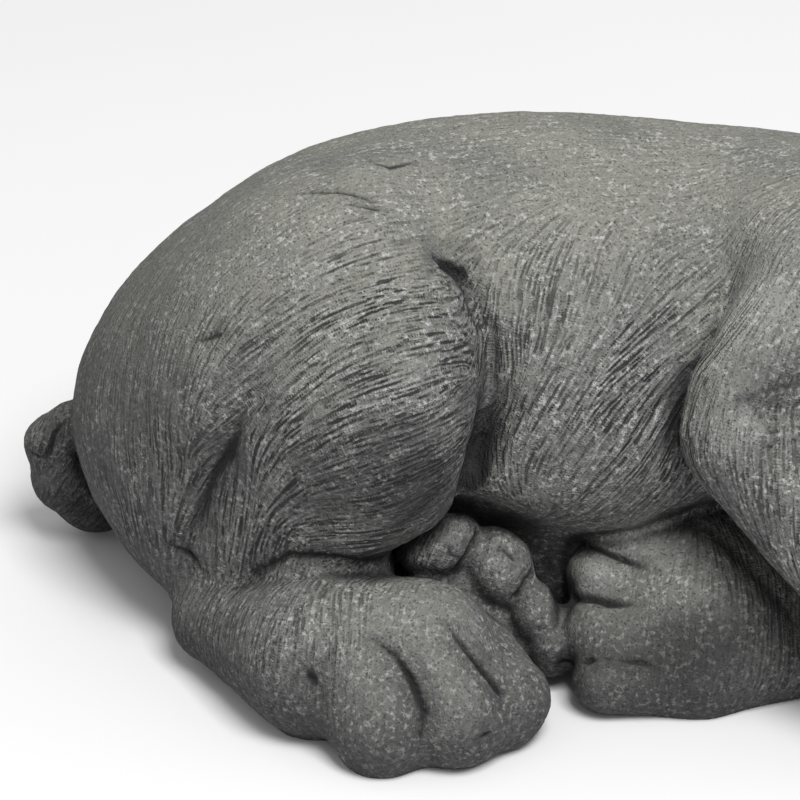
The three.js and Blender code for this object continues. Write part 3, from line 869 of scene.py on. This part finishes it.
def paint(mesh):
    """Keeps at each point what the stone's material goes by: shelter, rise over the form, how much it faces
    the sky, how deeply and which way it is combed, creases, and the listed patches of painted light and
    shade."""
    points = points_of(mesh)
    normals = np.empty(len(points) * 3, np.float32)
    mesh.vertex_normals.foreach_get("vector", normals)
    normals = normals.reshape(-1, 3).astype(float)
    sheltered = np.zeros(len(points))
    for reach, weight in SHELTER:
        free = distance_to_skin(points + normals * reach)
        sheltered += weight * np.clip(1 - free / reach, 0, 1)
    rise = distance_to_skin(points) + SINK - lumps(points)
    rise = np.clip(rise / FULL_RISE, -1, 1) * 0.5 + 0.5
    sky = normals @ np.array(DUST_AND_TOP_LIGHT_WAY) * 0.5 + 0.5
    form_normals = smoothed(normals, mesh)
    way, combed = comb(points, form_normals)
    crease = creased(points, form_normals)[1]
    kept = {
        "sheltered": sheltered,
        "rise": rise,
        "sky": sky,
        "combed": combed,
        "crease": crease,
        "painted_light_and_shade": painted_light_and_shade(points),
    }
    for name, values in kept.items():
        attribute = mesh.attributes.new(name, "FLOAT", "POINT")
        attribute.data.foreach_set("value", values.astype(np.float32))
    attribute = mesh.attributes.new("way", "FLOAT_VECTOR", "POINT")
    attribute.data.foreach_set("vector", way.astype(np.float32).ravel())


class Nodes:
    """Short calls for the nodes of one material."""

    def __init__(self, material):
        material.use_nodes = True
        self.tree = material.node_tree
        self.tree.nodes.clear()

    def add(self, kind, **settings):
        node = self.tree.nodes.new(kind)
        for key, value in settings.items():
            setattr(node, key, value)
        return node

    def link(self, source, target):
        if isinstance(source, (int, float, tuple)):
            target.default_value = source
        else:
            self.tree.links.new(source, target)

    def math(self, operation, a, b=0.0, clamp=False):
        node = self.add("ShaderNodeMath", operation=operation, use_clamp=clamp)
        self.link(a, node.inputs[0])
        self.link(b, node.inputs[1])
        return node.outputs[0]

    def ramp(self, value, low, high, to_low=0.0, to_high=1.0):
        node = self.add("ShaderNodeMapRange", interpolation_type="SMOOTHSTEP")
        for index, item in enumerate((value, low, high, to_low, to_high)):
            self.link(item, node.inputs[index])
        return node.outputs[0]

    def noise(self, place, scale, detail, rough):
        node = self.add("ShaderNodeTexNoise")
        self.link(place, node.inputs["Vector"])
        node.inputs["Scale"].default_value = scale
        node.inputs["Detail"].default_value = detail
        node.inputs["Roughness"].default_value = rough
        return node.outputs[0]

    def mix(self, factor, a, b):
        node = self.add("ShaderNodeMix", data_type="RGBA")
        self.link(factor, node.inputs[0])
        self.link(a, node.inputs[6])
        self.link(b, node.inputs[7])
        return node.outputs[2]

    def attribute(self, name):
        return self.add("ShaderNodeAttribute", attribute_name=name).outputs["Fac"]

    def bump(self, height):
        node = self.add("ShaderNodeBump")
        node.inputs["Strength"].default_value = BUMP_STRENGTH
        node.inputs["Distance"].default_value = BUMP_DEPTH
        self.link(height, node.inputs["Height"])
        return node.outputs[0]


def stone_material():
    # Weathered stone, with painted light and shade in its colour.
    material = bpy.data.materials.new("weathered_stone_with_painted_light_and_shade")
    n = Nodes(material)
    place = n.add("ShaderNodeTexCoord").outputs["Object"]
    sheltered = n.attribute("sheltered")
    rise = n.attribute("rise")
    sky = n.attribute("sky")
    light_and_shade = n.attribute("painted_light_and_shade")
    crease = n.attribute("crease")
    broad = n.noise(place, *BROAD_NOISE)
    patches = n.noise(place, *PATCH_NOISE)
    grit = n.noise(place, *GRIT_NOISE)
    grain = n.noise(place, *GRAIN_NOISE)
    fleck = n.noise(place, *FLECK_NOISE)
    axes = n.add("ShaderNodeSeparateXYZ")
    n.link(place, axes.inputs[0])
    along, across, up = axes.outputs

    # Fine strokes: noise summed along the way of the coat.
    way = n.add("ShaderNodeAttribute", attribute_name="way").outputs["Vector"]
    total = 0.0
    for step in range(-FINE_STEPS, FINE_STEPS + 1):
        moved = n.add("ShaderNodeVectorMath", operation="MULTIPLY_ADD")
        n.link(way, moved.inputs[0])
        moved.inputs[1].default_value = (step * FINE_STEP,) * 3
        n.link(place, moved.inputs[2])
        total = n.math("ADD", n.noise(moved.outputs[0], 1 / FINE_WIDTH, 0, 0.5), total)
    count = 2 * FINE_STEPS + 1
    stroke = n.math("MULTIPLY", n.math("SUBTRACT", total, count / 2), FINE_CONTRAST / math.sqrt(count))
    combed = n.math("MULTIPLY", n.attribute("combed"), n.ramp(patches, 0.3, 0.6, 0.45, 1.1))
    furrow = n.math("MULTIPLY", n.ramp(stroke, -0.05, -0.4), combed, clamp=True)
    ridge = n.math("MULTIPLY", n.ramp(stroke, 0.05, 0.4), combed, clamp=True)

    # Dust lies on what faces the sky, less of it low down; its lighter colour also paints the light that
    # falls on the tops.
    dust_and_top_light = n.math("MULTIPLY", n.ramp(sky, 0.62, 1.0), n.ramp(broad, 0.3, 0.6, 0.5, 1))
    dust_and_top_light = n.math("MULTIPLY", dust_and_top_light, n.ramp(up, 0.05, 0.15, 0.55, 1))

    # Light grains of sand stand in patches and along the ridges.
    flecks = n.math("ADD", n.ramp(patches, 0.35, 0.6, 0.4, 1), n.math("MULTIPLY", ridge, 0.4))
    flecks = n.math("MULTIPLY", n.ramp(fleck, 0.5, 0.7), flecks, clamp=True)

    # Painted shade darkens the stone near the ground, and the tail's end of it, more so low down and at the
    # back.
    ground_shade = n.math("ADD", up, n.math("MULTIPLY", patches, -0.03))
    tail_end_shade = n.math("ADD", n.math("MULTIPLY", along, 0.6), n.math("MULTIPLY", patches, 0.05))
    tail_end_shade = n.math("ADD", tail_end_shade, n.math("MULTIPLY", up, 0.3))
    tail_end_shade = n.math("SUBTRACT", tail_end_shade, n.math("MULTIPLY", across, 0.3))

    # The layers from the lowest to the topmost: how much of each shows, and its colour.
    colour = n.mix(n.ramp(broad, 0.35, 0.65), STONE_DARK, STONE_LIGHT)
    layers = (
        (n.ramp(grit, 0.35, 0.7), GRIT_COLOUR),
        # Dust, whose lighter colour also paints the light on the tops.
        (n.math("MULTIPLY", dust_and_top_light, 0.75), DUST_AND_TOP_LIGHT_COLOUR),
        # Painted light from the listed patches.
        (n.ramp(light_and_shade, 0, 1, 0, 0.9), PAINTED_LIGHT_COLOUR),
        # Painted highlight on points that rise over the form.
        (n.ramp(rise, 0.5, 1.0, 0, 0.2), RAISED_HIGHLIGHT_COLOUR),
        # Painted highlight on the ridges of the fine strokes.
        (n.math("MULTIPLY", ridge, 0.65), RIDGE_HIGHLIGHT_COLOUR),
        # Painted shade from the listed patches, a first coat.
        (n.ramp(light_and_shade, 0, -1, 0, 0.3), SHADE_COLOUR),
        (flecks, FLECK_COLOUR),
        (n.ramp(grain, 0.46, 0.3, 0, 0.8), PIT_COLOUR),
        # Painted shade in the furrows of the fine strokes.
        (n.math("MULTIPLY", furrow, 0.95), FURROW_SHADE_COLOUR),
        # Painted shade on points that sink under the form.
        (n.ramp(rise, 0.45, 0.05, 0, 0.25), SUNK_SHADE_COLOUR),
        # Painted shade where other stone shelters a point, in hollows and between parts.
        (n.ramp(sheltered, 0.35, 0.9, 0, 0.9), OCCLUSION_SHADE_COLOUR),
        # Painted shade in the cores of the creases.
        (n.ramp(crease, 0.1, 0.8, 0, 0.85), CREASE_SHADE_COLOUR),
        # Painted shade near the ground.
        (n.ramp(ground_shade, 0.032, -0.005, 0, 0.5), PAINTED_SHADE_COLOUR),
        # Painted shade from the listed patches, a second coat.
        (n.ramp(light_and_shade, 0, -1, 0, 0.65), SHADE_COLOUR),
        # Painted shade towards the tail's end, low down and at the back.
        (n.ramp(tail_end_shade, 0.03, -0.08, 0, 0.45), PAINTED_SHADE_COLOUR),
    )
    for share, layer in layers:
        colour = n.mix(share, colour, layer)

    height = n.math("ADD", grain, n.math("MULTIPLY", grit, 0.8))
    height = n.math("SUBTRACT", height, n.math("MULTIPLY", furrow, 1.6))
    height = n.math("ADD", height, n.math("MULTIPLY", ridge, 0.8))
    shader = n.add("ShaderNodeBsdfPrincipled")
    n.link(colour, shader.inputs["Base Color"])
    n.link(n.ramp(grain, 0.3, 0.7, 0.95, 0.82), shader.inputs["Roughness"])
    shader.inputs["Specular IOR Level"].default_value = STONE_SHINE
    n.link(n.bump(height), shader.inputs["Normal"])
    output = n.add("ShaderNodeOutputMaterial")
    n.link(shader.outputs[0], output.inputs["Surface"])
    return material


def dog():
    points, faces = carved_skin()
    mesh = mesh_from(PIECE, points, faces)
    mesh = thinned(mesh, TRIANGLES)
    mesh.name = PIECE
    mesh.shade_smooth()
    paint(mesh)
    mesh.materials.append(stone_material())
    obj = bpy.data.objects.new(PIECE, mesh)
    bpy.context.scene.collection.objects.link(obj)
    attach(obj, "root")
    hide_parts("sleeping_dog")


def floor():
    mesh = bpy.data.meshes.new("floor")
    corners = [(x * FLOOR_HALF, y * FLOOR_HALF, 0) for x, y in ((-1, -1), (1, -1), (1, 1), (-1, 1))]
    mesh.from_pydata(corners, [], [(0, 1, 2, 3)])
    material = bpy.data.materials.new("pale_floor")
    n = Nodes(material)
    place = n.add("ShaderNodeTexCoord").outputs["Object"]
    shade = n.mix(n.noise(place, *FLOOR_NOISE), FLOOR_DARK, FLOOR_LIGHT)
    shader = n.add("ShaderNodeBsdfPrincipled")
    n.link(shade, shader.inputs["Base Color"])
    shader.inputs["Roughness"].default_value = FLOOR_ROUGHNESS
    n.link(shader.outputs[0], n.add("ShaderNodeOutputMaterial").inputs["Surface"])
    mesh.materials.append(material)
    obj = bpy.data.objects.new("floor", mesh)
    bpy.context.scene.collection.objects.link(obj)


def aimed(name, data, place, target):
    """A light or camera at a place, turned towards its target."""
    obj = bpy.data.objects.new(name, data)
    obj.location = place
    obj.rotation_euler = (target - place).to_track_quat("-Z", "Y").to_euler()
    bpy.context.scene.collection.objects.link(obj)
    return obj


def lights():
    data = bpy.data.lights.new("key", "AREA")
    data.size = KEY_SIZE
    data.energy = KEY_POWER
    aimed("key", data, Vector(KEY_PLACE), Vector(KEY_TARGET))
    world = bpy.data.worlds.new("studio")
    world.use_nodes = True
    background = world.node_tree.nodes["Background"]
    background.inputs["Color"].default_value = (1, 1, 1, 1)
    background.inputs["Strength"].default_value = SKY_STRENGTH
    bpy.context.scene.world = world
    bpy.context.scene.view_settings.view_transform = "Standard"


def camera():
    data = bpy.data.cameras.new("camera")
    data.sensor_width = SENSOR_WIDTH
    data.lens = LENS
    target = Vector(CAMERA_TARGET)
    slant = math.radians(CAMERA_ELEVATION)
    place = target + Vector((0, -math.cos(slant), math.sin(slant))) * CAMERA_DISTANCE
    bpy.context.scene.camera = aimed("camera", data, place, target)


camera()
dog()
floor()
lights()
